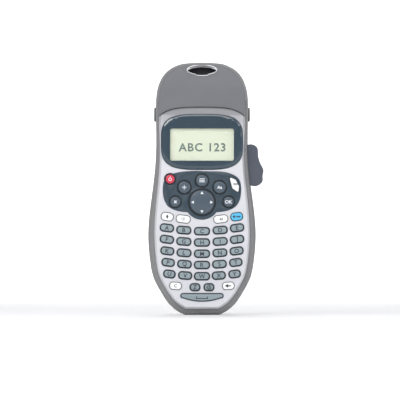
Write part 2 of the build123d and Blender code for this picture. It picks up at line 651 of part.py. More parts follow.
def make_back(outer, inner, zone):
    """The back half: shell wall, both bays, screw towers, lever lugs and grip pads."""
    front_room = front_core(zone, -PIECE_GAP)
    ahead = block(-GRIP_WIDTH, GRIP_WIDTH, FACE_Y - 5, PARTING_Y + 0.1, -10, 2 * BODY_HEIGHT)
    back = (outer - inner) - ahead - front_room
    fill = inner - ahead - front_room
    towers = []
    for x, z, _ in FRONT_SCREWS + HOOD_SCREWS:
        towers.append(rod_y(BOSS_RADIUS, x, z, PARTING_Y + 0.1, HEAD_BACK_Y))
    battery_walls, battery_room = bay(BATTERY_BAY_HALF, BATTERY_BAY_LOW_Z, BATTERY_BAY_HIGH_Z,
                                      BATTERY_FLOOR_Y, GRIP_BACK_Y - WALL, BATTERY_FLOOR_Y - BAY_WALL)
    cassette_walls, cassette_room = bay(CASSETTE_BAY_HALF, CASSETTE_LOW_Z - CASSETTE_GAP,
                                        CASSETTE_HIGH_Z + CASSETTE_GAP, CASSETTE_FLOOR_Y + BAY_WALL,
                                        HEAD_BACK_Y - WALL, CASSETTE_FLOOR_Y)
    x, z = LEVER_PIVOT
    lugs = [block(x - 3.0, x + 3.5, PARTING_Y + 0.1, LEVER_LOW_Y - LEVER_GAP, z - 3.2, z + 3.2)]
    lugs.append(block(x - 3.0, x + 3.5, LEVER_HIGH_Y + LEVER_GAP, LEVER_HIGH_Y + 3.5, z - 3.2, z + 3.2))
    for cover in (BATTERY_COVER, CASSETTE_COVER):
        half, low, high, outer_y = cover
        for side in (-1, 1):
            near, far = sorted((side * (half - 0.5), side * (half + COVER_PIN_LENGTH + 1.2)))
            lugs.append(block(near, far, outer_y - 4.6, outer_y, low - 2.6, low + 2.6))
    for added in towers + [battery_walls, cassette_walls] + lugs:
        back += added & fill
    tape_gate = block(-16.0, 9.5, CASSETTE_FLOOR_Y - 1, HEAD_BACK_Y - WALL, NOTCH_LOW_Z, CASSETTE_HIGH_Z + 4)
    back = back - battery_room - cassette_room - (tape_gate & cassette_walls)
    for cover in (BATTERY_COVER, CASSETTE_COVER):
        half, low, high, outer_y = cover
        back -= cover_plate(half, low, high, outer_y, COVER_GAP)
        lip = COVER_BARREL_RADIUS + COVER_GAP
        back -= block(-half - COVER_GAP, half + COVER_GAP, outer_y - COVER_BARREL_RADIUS, outer_y + 1, low - lip, low)
        back -= cover_pins(half, low, outer_y, COVER_PIN_RADIUS + SHAFT_GAP, 0.3)
    for x, z, tip_y in FRONT_SCREWS + HOOD_SCREWS:
        head_y = tip_y + SCREW_LENGTH
        back -= rod_y(SCREW_RADIUS + SCREW_HOLE_GAP, x, z, tip_y, head_y)
        back -= rod_y(SCREW_HEAD_RADIUS + SCREW_HOLE_GAP, x, z, head_y, HEAD_BACK_Y + 1)
    x, z = LEVER_PIVOT
    lever_window = block(x - 3.4, GRIP_WIDTH, LEVER_LOW_Y - LEVER_GAP, LEVER_HIGH_Y + LEVER_GAP, 101.0, z + 5.2)
    back -= lever_window
    back -= rod_y(LEVER_PIN_RADIUS + SHAFT_GAP, x, z, LEVER_LOW_Y - 2.5, LEVER_HIGH_Y + 3.0)
    back -= rod_y(ROLLER_SHAFT_RADIUS + SHAFT_GAP, ROLLER_X, ROLLER_Z, CASSETTE_FLOOR_Y - 1, CASSETTE_FLOOR_Y + 3)
    for side in (-1, 1):
        oval = Plane.YZ * (Pos(PAD_Y, PAD_Z) * Ellipse(PAD_DEPTH / 2, PAD_HEIGHT / 2))
        pad = extrude(oval, amount=HEAD_WIDTH / 2 + PAD_PROUD, dir=(side, 0, 0))
        back += pad - block(-HEAD_WIDTH / 2 + 1, HEAD_WIDTH / 2 - 1, -50, 50, 0, 2 * BODY_HEIGHT)
    return back


# ---- the whole assembly ----
def make_parts():
    outer = body_solid(0.0)
    inner = body_solid(WALL)
    zone = front_zone()
    hood, front = make_hood_and_front(outer, inner, zone)
    parts = {
        "front_shell": front,
        "top_hood": hood,
        "back_shell": make_back(outer, inner, zone),
        "display_bezel": make_bezel(),
        "display_lens": make_lens(),
        "lcd_module": make_lcd(),
        "nav_panel": make_panel(),
        "circuit_board": make_board(),
        "print_head": make_print_head(),
        "feed_motor": make_motor(),
        "platen_roller": make_roller(),
        "tape_cassette": make_cassette(),
        "batteries": make_batteries(),
        "battery_contacts": make_contacts(),
        "screws": make_screws(),
        "cassette_door": make_cover(CASSETTE_COVER),
        "battery_cover": make_cover(BATTERY_COVER),
        "cutter_lever": make_lever(),
    }
    rim_limit = outline(1.0, WALL + FACE_EDGE_ROUND + KEY_GAP / 2)
    panel_surface = FACE_Y + PANEL_SEAT - PANEL_THICK
    for name, shape in panel_keys().items():
        parts[name] = make_key(shape, panel_surface, rim_limit)
    for name, shape in face_keys().items():
        parts[name] = make_key(shape, FACE_Y, rim_limit)
    return parts


os.makedirs("parts", exist_ok=True)
for part_name, solid in make_parts().items():
    export_step(solid, os.path.join("parts", part_name + ".step"))
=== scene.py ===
"""Looks for a handheld label maker: pearl and grey mouldings, glossy display surround, rubber keys."""

import json
import math

import bpy
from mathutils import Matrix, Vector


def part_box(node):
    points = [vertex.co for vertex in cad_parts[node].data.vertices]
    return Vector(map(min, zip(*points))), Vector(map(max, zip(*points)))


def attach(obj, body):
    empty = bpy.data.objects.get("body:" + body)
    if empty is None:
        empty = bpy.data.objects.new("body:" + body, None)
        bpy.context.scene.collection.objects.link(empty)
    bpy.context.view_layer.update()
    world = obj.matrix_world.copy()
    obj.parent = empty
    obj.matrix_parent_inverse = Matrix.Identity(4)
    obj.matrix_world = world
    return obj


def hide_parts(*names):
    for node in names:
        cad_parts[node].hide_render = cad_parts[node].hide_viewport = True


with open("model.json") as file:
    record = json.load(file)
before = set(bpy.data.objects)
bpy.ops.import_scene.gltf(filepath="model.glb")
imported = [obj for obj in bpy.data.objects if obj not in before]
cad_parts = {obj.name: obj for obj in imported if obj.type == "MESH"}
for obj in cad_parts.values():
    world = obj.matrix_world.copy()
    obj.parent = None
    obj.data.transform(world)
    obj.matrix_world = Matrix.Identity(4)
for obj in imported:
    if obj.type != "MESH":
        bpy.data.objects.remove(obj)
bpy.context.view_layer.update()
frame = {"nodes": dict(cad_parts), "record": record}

bl_info = {
    "name": "Label maker looks",
    "version": (1, 0, 0),
    "blender": (4, 5, 0),
    "location": "View3D > Sidebar > Label maker",
    "description": "Models and paints the visible pieces of a handheld label maker round its frame",
    "category": "Object",
}

MM = 0.001
LEGEND_LIFT = 0.05 * MM
CAMERA_DISTANCE = 4.0
CAMERA_HEIGHT = 0.035
AIM_X, AIM_Z = -0.0016, 0.0924      # the picture's middle on the label maker
PICTURE_WIDTH = 0.3215              # what the picture shows across at the key face
SENSOR = 36.0

LETTERS = "abcdefghijklmnopqrstuvwxyz"
TEAL_KEYS = ["key_" + letter for letter in LETTERS] + ["key_symbol"]
WHITE_KEYS = ["key_caps", "key_numlock", "key_accents", "key_clear", "key_backspace", "key_print"]
SLATE_KEYS = ["key_settings", "key_insert", "key_format", "key_cancel", "key_ok"]

# Words on a key: what is printed, its height, and its shift across and up, in mm.
WORDS = {
    "symbol": ("@", 2.97, 0.0, 0.0),
    "numlock": ("12", 2.1, 0.0, 0.0),
    "accents": ("éñ", 2.1, 0.4, 0.0),
    "clear": ("C", 2.4, 0.0, 0.0),
    "power": ("O", 2.6, 0.0, -0.2),
    "format": ("Aa", 2.5, 0.0, 0.0),
    "cancel": ("×", 3.6, 0.0, 0.0),
    "ok": ("OK", 2.7, 0.0, 0.0),
}
# Triangles on a key: radius, turn in degrees, and shift across and up, in mm.
TRIANGLES = {
    "caps": [(1.35, 0.0, 0.0, 0.5)],
    "backspace": [(1.764, 90.0, -1.05, 0.0)],
}
# Bars on a key: width, height, and shift across and up, in mm.
BARS = {
    "space": [(9.6, 0.7, 0.0, -0.9), (0.7, 2.0, -4.5, -0.2), (0.7, 2.0, 4.5, -0.2)],
    "caps": [(1.1, 1.3, 0.0, -0.8)],
    "save": [(1.9, 1.9, -2.1, 0.0), (3.4, 1.0, 1.4, 0.0)],
    "backspace": [(2.52, 0.84, 0.84, 0.0)],
    "print": [(3.6, 0.5, 0.9, 0.9), (3.6, 0.5, 0.9, 0.0)],
    "power": [(0.5, 1.7, 0.0, 1.3)],
    "settings": [(4.4, 0.55, 0.0, 1.3), (4.4, 0.55, 0.0, 0.1), (4.4, 0.55, 0.0, -1.1)],
    "insert": [(3.6, 0.65, 0.0, 0.0), (0.65, 3.6, 0.0, 0.0)],
}
COLUMN_TILTS = (8.0, 4.5, 0.0, -4.5, -8.0)      # degrees, the outer columns lean outwards
ARROW_REACH, ARROW_RADIUS = 7.3 * MM, 1.45 * MM   # the four arrows on the round pad

# The mouth in the crown, the hood's lower edge and the oval pads.
MOUTH_HALF_WIDTH, MOUTH_HALF_HEIGHT, MOUTH_Z = 11.7 * MM, 3.8 * MM, 197.6 * MM
THROAT_BACK, THROAT_DEPTH, THROAT_WALL = 24.5 * MM, 8.5 * MM, 0.3 * MM
HOOD_EDGE_HALF_WIDTH, HOOD_EDGE_HALF_HEIGHT, HOOD_EDGE_POWER = 33.1 * MM, 22.5 * MM, 3.4
HOOD_EDGE_Z, FACE_EDGE = 139.1 * MM, 34.4 * MM
PAD_SIZE = (2.6 * MM, 4.75 * MM, 5.75 * MM)
PAD_X, PAD_Y, PAD_Z = 37.45 * MM, 3.0 * MM, 161.6 * MM

# The stage, in metres: lights are name, power, size, place and what they aim at.
FLOOR_WIDTH, FLOOR_DEPTH, FLOOR_MIDDLE_Y = 14.0, 12.0, -0.4
BACKDROP_HEIGHT, BACKDROP_ROUND = 4.0, 1.2
LIGHT_AIM = (0.0, 0.0, 0.11)
LIGHTS = (
    ("key_light", 17.0, 0.9, (-0.9, -1.6, 1.1), LIGHT_AIM),
    ("fill_light", 9.0, 1.0, (1.3, -1.3, 0.7), LIGHT_AIM),
    ("top_light", 1.5, 0.8, (0.0, 0.3, 1.7), LIGHT_AIM),
    ("backdrop_light", 170.0, 3.0, (0.0, 4.4, 3.4), (0.0, 5.6, 0.0)),
    ("floor_light", 26.0, 1.6, (0.0, -2.7, 1.5), (0.0, -2.75, 0.0)),
)
SKY, SKY_STRENGTH = (0.95, 0.96, 1.0, 1.0), 0.38


# ---- sizes and colours a user would change ----
def colour(name, default, description):
    return bpy.props.FloatVectorProperty(
        name=name, description=description, default=default, size=3, subtype="COLOR", min=0.0, max=1.0
    )


def length(name, default_mm, description):
    return bpy.props.FloatProperty(
        name=name, description=description, default=default_mm * MM, unit="LENGTH", precision=5
    )


class LabelMakerColours(bpy.types.PropertyGroup):
    pearl: colour("Pearl", (0.68, 0.68, 0.72), "Front shell paint")
    hood: colour("Hood", (0.185, 0.188, 0.205), "Grey hood over the crown")
    band: colour("Band", (0.235, 0.235, 0.24), "Back shell and covers")
    slate: colour("Slate", (0.025, 0.050, 0.072), "Display surround and key panel")
    lever: colour("Lever", (0.068, 0.078, 0.104), "Cutter lever")
    pad: colour("Grip pad", (0.10, 0.10, 0.10), "Oval grip pads")
    screen: colour("Screen", (0.78, 0.82, 0.67), "Display background")
    screen_ink: colour("Screen ink", (0.20, 0.26, 0.23), "Display characters")
    teal: colour("Letter keys", (0.27, 0.335, 0.36), "Letter key tops")
    rim: colour("Key rims", (0.012, 0.022, 0.032), "Dark rims round the keys")
    slate_key: colour("Round keys", (0.062, 0.090, 0.120), "Round key tops")
    white: colour("White keys", (0.92, 0.92, 0.92), "White key tops")
    red: colour("Power key", (0.66, 0.035, 0.075), "Power key top")
    blue: colour("Save key", (0.09, 0.50, 0.80), "Blue key top")


class LabelMakerSizes(bpy.types.PropertyGroup):
    key_rim: length("Key rim", 0.95, "Width of the dark rim round a letter key's top")
    thin_rim: length("Thin rim", 0.45, "Width of the rim round a white or round key's top")
    key_round: length("Key rounding", 0.3, "Rounding of a key's front edge")
    letter: length("Letter height", 3.3, "Height of a key's letter")
    hood_round: length("Edge rounding", 0.35, "Rounding of the display surround's edges")


# ---- shader maths ----
class Value:
    """A socket that can be used in Python expressions; each operator adds a Math node."""

    def __init__(self, paint, socket):
        self.paint, self.socket = paint, socket

    def _math(self, operation, *inputs):
        return self.paint.add("ShaderNodeMath", {"operation": operation}, inputs)

    def __add__(self, other):
        return self._math("ADD", self, other)

    def __radd__(self, other):
        return self._math("ADD", other, self)

    def __sub__(self, other):
        return self._math("SUBTRACT", self, other)

    def __rsub__(self, other):
        return self._math("SUBTRACT", other, self)

    def __mul__(self, other):
        return self._math("MULTIPLY", self, other)

    def __rmul__(self, other):
        return self._math("MULTIPLY", other, self)

    def clamped(self):
        return self.paint.add("ShaderNodeClamp", {}, [self])


class Paint:
    """One material: its nodes, its shader and short calls that add to them."""

    def __init__(self, name):
        self.material = bpy.data.materials.new(name)
        self.material.use_nodes = True
        self.tree = self.material.node_tree
        self.shader = self.tree.nodes["Principled BSDF"]

    def add(self, kind, settings, inputs=(), output=0):
        node = self.tree.nodes.new(kind)
        for name, setting in settings.items():
            setattr(node, name, setting)
        pairs = inputs.items() if isinstance(inputs, dict) else enumerate(inputs)
        for name, item in pairs:
            self.plug(node.inputs[name], item)
        return Value(self, node.outputs[output])

    def plug(self, socket, item):
        if isinstance(item, Value):
            self.tree.links.new(item.socket, socket)
        else:
            socket.default_value = item

    def set(self, **sockets):
        for name, item in sockets.items():
            self.plug(self.shader.inputs[name.replace("_", " ")], item)

    def place(self):
        return self.add("ShaderNodeTexCoord", {}, output="Object")

    def along(self, axis):
        return self.add("ShaderNodeSeparateXYZ", {}, [self.place()], output=axis)

    def noise(self, scale, detail=2.0):
        return self.add("ShaderNodeTexNoise", {}, {"Vector": self.place(), "Scale": scale, "Detail": detail})

    def flakes(self, scale):
        return self.add("ShaderNodeTexVoronoi", {}, {"Vector": self.place(), "Scale": scale})

    def mix(self, factor, first, second):
        node = self.tree.nodes.new("ShaderNodeMix")
        node.data_type = "RGBA"
        self.plug(node.inputs[0], factor)
        self.plug(node.inputs[6], first)
        self.plug(node.inputs[7], second)
        return Value(self, node.outputs[2])

    def bump(self, height, strength, distance):
        return self.add("ShaderNodeBump", {}, {"Height": height, "Strength": strength, "Distance": distance})


def tone(rgb, factor):
    return tuple(min(1.0, part * factor) for part in rgb) + (1.0,)


def moulded(name, rgb, roughness, grain=2600.0, depth=0.02 * MM, coat=0.0, metallic=0.0, mottling=0.05):
    """Moulded plastic: fine spark-eroded grain, faint mottling and an uneven sheen."""
    paint = Paint(name)
    mottle = paint.noise(45.0, 3.0)
    fine = paint.noise(grain, 1.0)
    factor = ((mottle - 0.5) * 1.6 + (fine - 0.5) * 0.8 + 0.5).clamped()
    paint.set(
        Base_Color=paint.mix(factor, tone(rgb, 1 - mottling), tone(rgb, 1 + mottling)),
        Roughness=(mottle - 0.5) * 0.2 + (fine - 0.5) * 0.1 + roughness,
        Normal=paint.bump(fine, 0.3, depth),
        Metallic=metallic,
        Coat_Weight=coat,
        Coat_Roughness=0.1,
    )
    return paint.material


def brushed(name, rgb, roughness):
    """Bare metal with fine drawn streaks."""
    paint = Paint(name)
    streak = paint.noise(900.0, 2.0)
    paint.set(
        Base_Color=paint.mix(streak, tone(rgb, 0.85), tone(rgb, 1.1)),
        Roughness=(streak - 0.5) * 0.25 + roughness,
        Normal=paint.bump(streak, 0.15, 0.01 * MM),
        Metallic=1.0,
    )
    return paint.material


def clear_window(name):
    """The clear display window, with a faint uneven polish."""
    paint = Paint(name)
    smear = paint.noise(60.0, 4.0)
    paint.set(
        Base_Color=(0.98, 0.99, 0.98, 1.0),
        Roughness=(smear - 0.4) * 0.05 + 0.03,
        Transmission_Weight=1.0,
        IOR=1.3,
    )
    return paint.material


def screen_paint(name, rgb):
    """Reflective display: a pale green-cream field with a faint cell grid, and a painted glow: a faint,
    uneven emission that brightens the field though it has no lamp.
    """
    paint = Paint(name)
    wash = paint.noise(28.0, 2.0)
    grid = paint.flakes(1900.0)
    factor = ((wash - 0.5) * 1.2 + (grid - 0.4) * 0.25 + 0.5).clamped()
    paint.set(
        Base_Color=paint.mix(factor, tone(rgb, 0.965), tone(rgb, 1.02)),
        Roughness=(wash - 0.5) * 0.1 + 0.45,
        Normal=paint.bump(grid, 0.05, 0.01 * MM),
        # Painted glow: the field emits faintly in its own colour.
        Emission_Color=paint.mix(factor, tone(rgb, 0.9), tone(rgb, 1.0)),
        Emission_Strength=0.28,
    )
    return paint.material


# ---- modelling by hand ----
def deselect():
    if bpy.context.mode != "OBJECT":
        bpy.ops.object.mode_set(mode="OBJECT")
    bpy.ops.object.select_all(action="DESELECT")


def choose(*pieces):
    deselect()
    for piece in pieces:
        piece.select_set(True)
    bpy.context.view_layer.objects.active = pieces[0]
    return pieces[0]


def edit(piece):
    choose(piece)
    bpy.ops.object.mode_set(mode="EDIT")
    bpy.ops.mesh.select_mode(type="FACE")
    bpy.ops.mesh.select_all(action="DESELECT")


def leave(piece):
    bpy.ops.object.mode_set(mode="OBJECT")
    return piece


def edit_all(piece):
    edit(piece)
    bpy.ops.mesh.select_all(action="SELECT")


def face_outwards():
    bpy.ops.mesh.select_all(action="SELECT")
    bpy.ops.mesh.normals_make_consistent(inside=False)


def pull(x=0.0, y=0.0, z=0.0):
    """Extrudes what is selected by this much."""
    bpy.ops.mesh.extrude_region_move(TRANSFORM_OT_translate={"value": (x, y, z)})


def pick(piece, wanted):
    """Selects the faces that pass a test on their centre and normal, in edit mode."""
    bpy.ops.object.mode_set(mode="OBJECT")
    for edge in piece.data.edges:
        edge.select = False
    for vertex in piece.data.vertices:
        vertex.select = False
    for face in piece.data.polygons:
        face.select = bool(wanted(face))
    bpy.ops.object.mode_set(mode="EDIT")


def settle(piece):
    choose(piece)
    bpy.ops.object.transform_apply(location=True, rotation=True, scale=True)
    return piece


def own_copy(node, name):
    """A merged copy of a CAD node's mesh, to be worked on."""
    piece = bpy.data.objects.new(name, frame["nodes"][node].data.copy())
    bpy.context.scene.collection.objects.link(piece)
    piece.data.materials.clear()
    edit_all(piece)
    bpy.ops.mesh.remove_doubles(threshold=0.002 * MM)
    bpy.ops.mesh.customdata_custom_splitnormals_clear()
    return leave(piece)


def dissolve(piece, degrees=1.0):
    edit_all(piece)
    bpy.ops.mesh.dissolve_limited(angle_limit=math.radians(degrees))
    return leave(piece)


def smooth(piece, degrees=35.0):
    choose(piece)
    bpy.ops.object.shade_smooth_by_angle(angle=math.radians(degrees))
    return piece


def modify(piece, kind, **settings):
    choose(piece)
    modifier = piece.modifiers.new(kind.title(), kind)
    for name, setting in settings.items():
        setattr(modifier, name, setting)
    bpy.ops.object.modifier_apply(modifier=modifier.name)
    return piece


def round_edges(piece, width, segments, degrees):
    """Rounds the edges that turn by more than this many degrees."""
    angle = math.radians(degrees)
    return modify(piece, "BEVEL", width=width, segments=segments, limit_method="ANGLE", angle_limit=angle)


def put(piece, body, replaced=()):
    """Rides the piece on its body and hides the nodes that it stands for."""
    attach(piece, body)
    if replaced:
        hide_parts(*replaced)
    return piece


def body_of(node):
    for body, members in frame["record"]["behaviour"]["bodies"].items():
        if node in members:
            return body
    raise ValueError("no body holds " + node)


# ---- legends ----
def as_mesh(piece, material, x, y, z, tilt=0.0):
    """Turns a text or mesh drawn flat in XY to stand on the key face at its place."""
    choose(piece)
    if piece.type != "MESH":
        bpy.ops.object.convert(target="MESH")
        bpy.ops.object.origin_set(type="ORIGIN_GEOMETRY", center="BOUNDS")
        piece = bpy.context.view_layer.objects.active
    piece.rotation_euler = (math.radians(90), tilt, 0.0)
    piece.location = (x, y, z)
    settle(piece)
    piece.data.materials.clear()
    piece.data.materials.append(material)
    return piece


def text_legend(words, height, material, x, y, z, tilt=0.0, spread=1.0):
    bpy.ops.object.text_add(location=(0, 0, 0))
    piece = bpy.context.view_layer.objects.active
    piece.data.body = words
    piece.data.size = height * 1.42
    piece.data.align_x = "CENTER"
    piece.data.align_y = "CENTER"
    piece.data.extrude = LEGEND_LIFT
    piece.data.offset = height * 0.03
    piece.data.space_character = spread
    piece.data.resolution_u = 3
    return as_mesh(piece, material, x, y, z, tilt)


def disc_legend(sides, radius, material, x, y, z, turn=0.0):
    """A small printed disc, triangle or square, slightly raised."""
    bpy.ops.mesh.primitive_circle_add(vertices=sides, radius=radius, fill_type="NGON", rotation=(0, 0, turn))
    piece = bpy.context.view_layer.objects.active
    bpy.ops.object.transform_apply(location=True, rotation=True, scale=True)
    edit_all(piece)
    pull(z=LEGEND_LIFT)
    face_outwards()
    leave(piece)
    return as_mesh(piece, material, x, y, z)


def bar_legend(width, height, material, x, y, z, tilt=0.0):
    """A short printed stroke with rounded ends."""
    bpy.ops.mesh.primitive_plane_add(size=1.0)
    piece = bpy.context.view_layer.objects.active
    piece.scale = (width, height, 1.0)
    bpy.ops.object.transform_apply(location=True, rotation=True, scale=True)
    edit_all(piece)
    bpy.ops.mesh.bevel(offset=min(width, height) * 0.35, segments=2, affect="VERTICES")
    bpy.ops.mesh.select_all(action="SELECT")
    pull(z=LEGEND_LIFT)
    face_outwards()
    leave(piece)
    return as_mesh(piece, material, x, y, z, tilt)


def joined(pieces):
    choose(*pieces)
    if len(pieces) > 1:
        bpy.ops.object.join()
    return bpy.context.view_layer.objects.active


# ---- keys ----
def front_face_only(node, name):
    """A copy of a node cut down to its flat front face."""
    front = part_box(node)[0].y
    piece = own_copy(node, name)
    edit(piece)
    pick(piece, lambda face: face.center.y > front + 0.02 * MM)
    bpy.ops.mesh.delete(type="FACE")
    leave(piece)
    return dissolve(piece)


def key_cap(node, rim_width, rounding, rim, top):
    """A key: its outline pulled back into a block, its edge rounded, its top raised inside the rim."""
    front, step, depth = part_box(node)[0].y, 0.35 * MM, 3.2 * MM
    cap = front_face_only(node, "cap_" + node)
    edit_all(cap)
    bpy.ops.transform.translate(value=(0, step, 0))
    pull(y=depth - step)
    face_outwards()
    pick(cap, lambda face: face.normal.y < -0.9 and face.center.y < front + 2 * step)
    bpy.ops.mesh.bevel(offset=rounding, segments=3, affect="EDGES")
    pick(cap, lambda face: face.normal.y < -0.999 and face.area > 2e-6)
    bpy.ops.mesh.inset(thickness=max(rim_width - rounding, 0.05 * MM), depth=0)
    bpy.ops.mesh.inset(thickness=0.22 * MM, depth=0.2 * MM)
    bpy.ops.mesh.inset(thickness=0.3 * MM, depth=0.1 * MM)
    leave(cap)
    cap.data.materials.append(rim)
    cap.data.materials.append(top)
    for face in cap.data.polygons:
        face.material_index = int(face.center.y < front + step - 0.02 * MM and face.normal.y < -0.1)
    return smooth(cap, 50)


def middle(piece):
    corners = [tuple(corner) for corner in piece.bound_box]
    low = [min(corner[axis] for corner in corners) for axis in range(3)]
    high = [max(corner[axis] for corner in corners) for axis in range(3)]
    return (low[0] + high[0]) / 2, low[1] + 0.01 * MM, (low[2] + high[2]) / 2


def key_legends(name, cap, ink, sizes):
    """What is printed on a key: a letter, or simple generic signs."""
    x, y, z = middle(cap)
    marks = []
    if len(name) == 1:
        column = LETTERS.index(name) % len(COLUMN_TILTS)
        tilt = 0.0 if name == "z" else math.radians(COLUMN_TILTS[column])
        marks.append(text_legend(name.upper(), sizes.letter, ink, x, y, z, tilt))
    if name in WORDS:
        words, height, across, up = WORDS[name]
        marks.append(text_legend(words, height * MM, ink, x + across * MM, y, z + up * MM))
    for radius, turn, across, up in TRIANGLES.get(name, ()):
        place = (x + across * MM, y, z + up * MM)
        marks.append(disc_legend(3, radius * MM, ink, *place, math.radians(turn)))
    for width, height, across, up in BARS.get(name, ()):
        marks.append(bar_legend(width * MM, height * MM, ink, x + across * MM, y, z + up * MM))
    return marks


def finished_key(node, rim_width, rim, top, ink, sizes):
    cap = key_cap(node, rim_width, sizes.key_round, rim, top)
    marks = key_legends(node.removeprefix("key_"), cap, ink, sizes)
    key = joined([cap] + marks)
    key.name = "cap_" + node
    return put(key, body_of(node), [node])


# ---- the front surface, which leans back towards the crown ----
LEAN_Y, LEAN_Z, LEAN_RADIUS = 53.5 * MM, 134.5 * MM, 75.0 * MM
FACE_Y = -17.0 * MM
BEND_Z = 160.0 * MM


def front_y(z):
    if z < BEND_Z:
        return FACE_Y
    return LEAN_Y - math.sqrt(max(LEAN_RADIUS**2 - (z - LEAN_Z) ** 2, 0.0))


def looped_band(name, inner, outer, proud, thickness, material):
    """A band between two closed loops of (x, z) points, laid on the front surface and given a wall."""
    rings = []
    for points in (inner, outer):
        bpy.ops.mesh.primitive_circle_add(vertices=len(points), radius=1.0)
        ring = bpy.context.view_layer.objects.active
        for vertex, (x, z) in zip(ring.data.vertices, points):
            vertex.co = (x, front_y(z) - proud, z)
        rings.append(ring)
    band = joined(rings)
    band.name = name
    edit(band)
    bpy.ops.mesh.select_mode(type="EDGE")
    bpy.ops.mesh.select_all(action="SELECT")
    bpy.ops.mesh.bridge_edge_loops()
    face_outwards()
    leave(band)
    if sum(face.normal.y * face.area for face in band.data.polygons) > 0:
        edit(band)
        bpy.ops.mesh.select_all(action="SELECT")
        bpy.ops.mesh.flip_normals()
        leave(band)
    band.data.materials.append(material)
    modify(band, "SOLIDIFY", thickness=thickness, offset=-1.0)
    return smooth(band, 50)


def ellipse(half_width, half_height, z, count=72):
    turns = [2 * math.pi * index / count for index in range(count)]
    return [(half_width * math.cos(turn), z + half_height * math.sin(turn)) for turn in turns]


def superellipse(half_width, half_height, power, z, count=160):
    points = []
    for index in range(count):
        turn = 2 * math.pi * index / count
        across, up = math.cos(turn), math.sin(turn)
        x = half_width * math.copysign(abs(across) ** (2 / power), across)
        points.append((x, z + half_height * math.copysign(abs(up) ** (2 / power), up)))
    return points


# ---- pieces, one operator for each group ----
def colours():
    return bpy.context.scene.label_maker_colours


def sizes_now():
    return bpy.context.scene.label_maker_sizes


def shell_copy(node, material, degrees=48.0):
    piece = own_copy(node, "skin_" + node)
    piece.data.materials.append(material)
    dissolve(piece, 0.4)
    smooth(piece, degrees)
    modify(piece, "WEIGHTED_NORMAL", keep_sharp=True, weight=80)
    return put(piece, body_of(node), [node])


class LABELMAKER_OT_shells(bpy.types.Operator):
    """Front shell, hood, back shell and the two covers"""

    bl_idname = "label_maker.shells"
    bl_label = "Shells and covers"

    def execute(self, context):
        paints = colours()
        shell_copy("front_shell", pearl_with_painted_shade("pearl_with_painted_shade", paints.pearl))
        shell_copy("top_hood", moulded("hood_satin", paints.hood, 0.38, coat=0.15))
        back = moulded("back_satin", paints.band, 0.42, coat=0.1)
        for node in ("back_shell", "cassette_door", "battery_cover"):
            shell_copy(node, back)
        return {"FINISHED"}


def pearl_with_painted_shade(name, rgb):
    """The front's pearl, with painted shade: darker where it runs up under the hood, standing in for the
    dimmer reflection where the face leans back.
    """
    paint = Paint(name)
    flake = paint.flakes(4200.0)
    cloud = paint.noise(32.0, 3.0)
    # Painted shade: between these heights the pearl is mixed towards a dark tone, in place of the dimmer
    # light on the leaning face.
    low, high = 0.143, 0.162
    rise = ((paint.along("Z") - low) * (1.0 / (high - low))).clamped()
    factor = ((flake - 0.35) * 0.7 + (cloud - 0.5) * 0.5 + 0.5).clamped()
    pearl = paint.mix(factor, tone(rgb, 0.93), tone(rgb, 1.07))
    paint.set(
        # The 0.42 tone mixed in by height is painted shade, not a second paint.
        Base_Color=paint.mix(rise * 0.85, pearl, tone(rgb, 0.42)),
        Roughness=(flake - 0.4) * 0.14 + (cloud - 0.5) * 0.1 + 0.36,
        Normal=paint.bump(flake, 0.1, 0.01 * MM),
        Metallic=0.15,
        Coat_Weight=0.3,
        Coat_Roughness=0.2,
    )
    return paint.material


class LABELMAKER_OT_mouth(bpy.types.Operator):
    """The lip over the label mouth, painted near-white as a highlight on the mouth's edge, its dark throat
    and the hood's seam
    """

    bl_idname = "label_maker.mouth"
    bl_label = "Label mouth"

    def execute(self, context):
        # Painted highlight: the lip's near-white stands in for light caught on the edge of the mouth.
        lip_highlight_paint = moulded("lip_painted_highlight", (0.93, 0.93, 0.94), 0.25, coat=0.5)
        inner = ellipse(MOUTH_HALF_WIDTH, MOUTH_HALF_HEIGHT, MOUTH_Z)
        outer = ellipse(MOUTH_HALF_WIDTH + 0.6 * MM, MOUTH_HALF_HEIGHT + 0.9 * MM, MOUTH_Z + 0.85 * MM)
        lip = looped_band("mouth_lip", inner, outer, 0.45 * MM, 0.8 * MM, lip_highlight_paint)
        put(lip, "housing")
        black = moulded("throat_black", (0.012, 0.012, 0.02), 0.6)
        upright = (math.radians(90), 0, 0)
        bpy.ops.mesh.primitive_circle_add(vertices=64, radius=1.0, fill_type="NGON", rotation=upright)
        throat = bpy.context.view_layer.objects.active
        throat.name = "mouth_throat"
        throat.scale = (MOUTH_HALF_WIDTH + 0.4 * MM, MOUTH_HALF_HEIGHT + 0.4 * MM, 1.0)
        throat.location = (0, THROAT_BACK, MOUTH_Z)
        settle(throat)
        edit_all(throat)
        pull(y=-THROAT_DEPTH)
        middle_y = THROAT_BACK - THROAT_DEPTH / 2
        pick(throat, lambda face: face.center.y < middle_y and abs(face.normal.y) > 0.9)
        bpy.ops.mesh.delete(type="ONLY_FACE")
        face_outwards()
        leave(throat)
        throat.data.materials.append(black)
        modify(throat, "SOLIDIFY", thickness=THROAT_WALL, offset=0.0)
        put(smooth(throat), "housing")
        dark = moulded("seam_dark", (0.03, 0.03, 0.035), 0.6)
        seam = strip("hood_seam", seam_line(5.3 * MM), seam_line(5.95 * MM), 0.04 * MM, 0.25 * MM, dark)
        put(seam, "housing")
        return {"FINISHED"}


def seam_line(margin):
    """The hood's lower edge, kept to the flat of the face."""
    half_width, half_height = HOOD_EDGE_HALF_WIDTH + margin, HOOD_EDGE_HALF_HEIGHT + margin
    points = superellipse(half_width, half_height, HOOD_EDGE_POWER, HOOD_EDGE_Z)
    return [(x, z) for x, z in points if abs(x) < FACE_EDGE and z > HOOD_EDGE_Z]


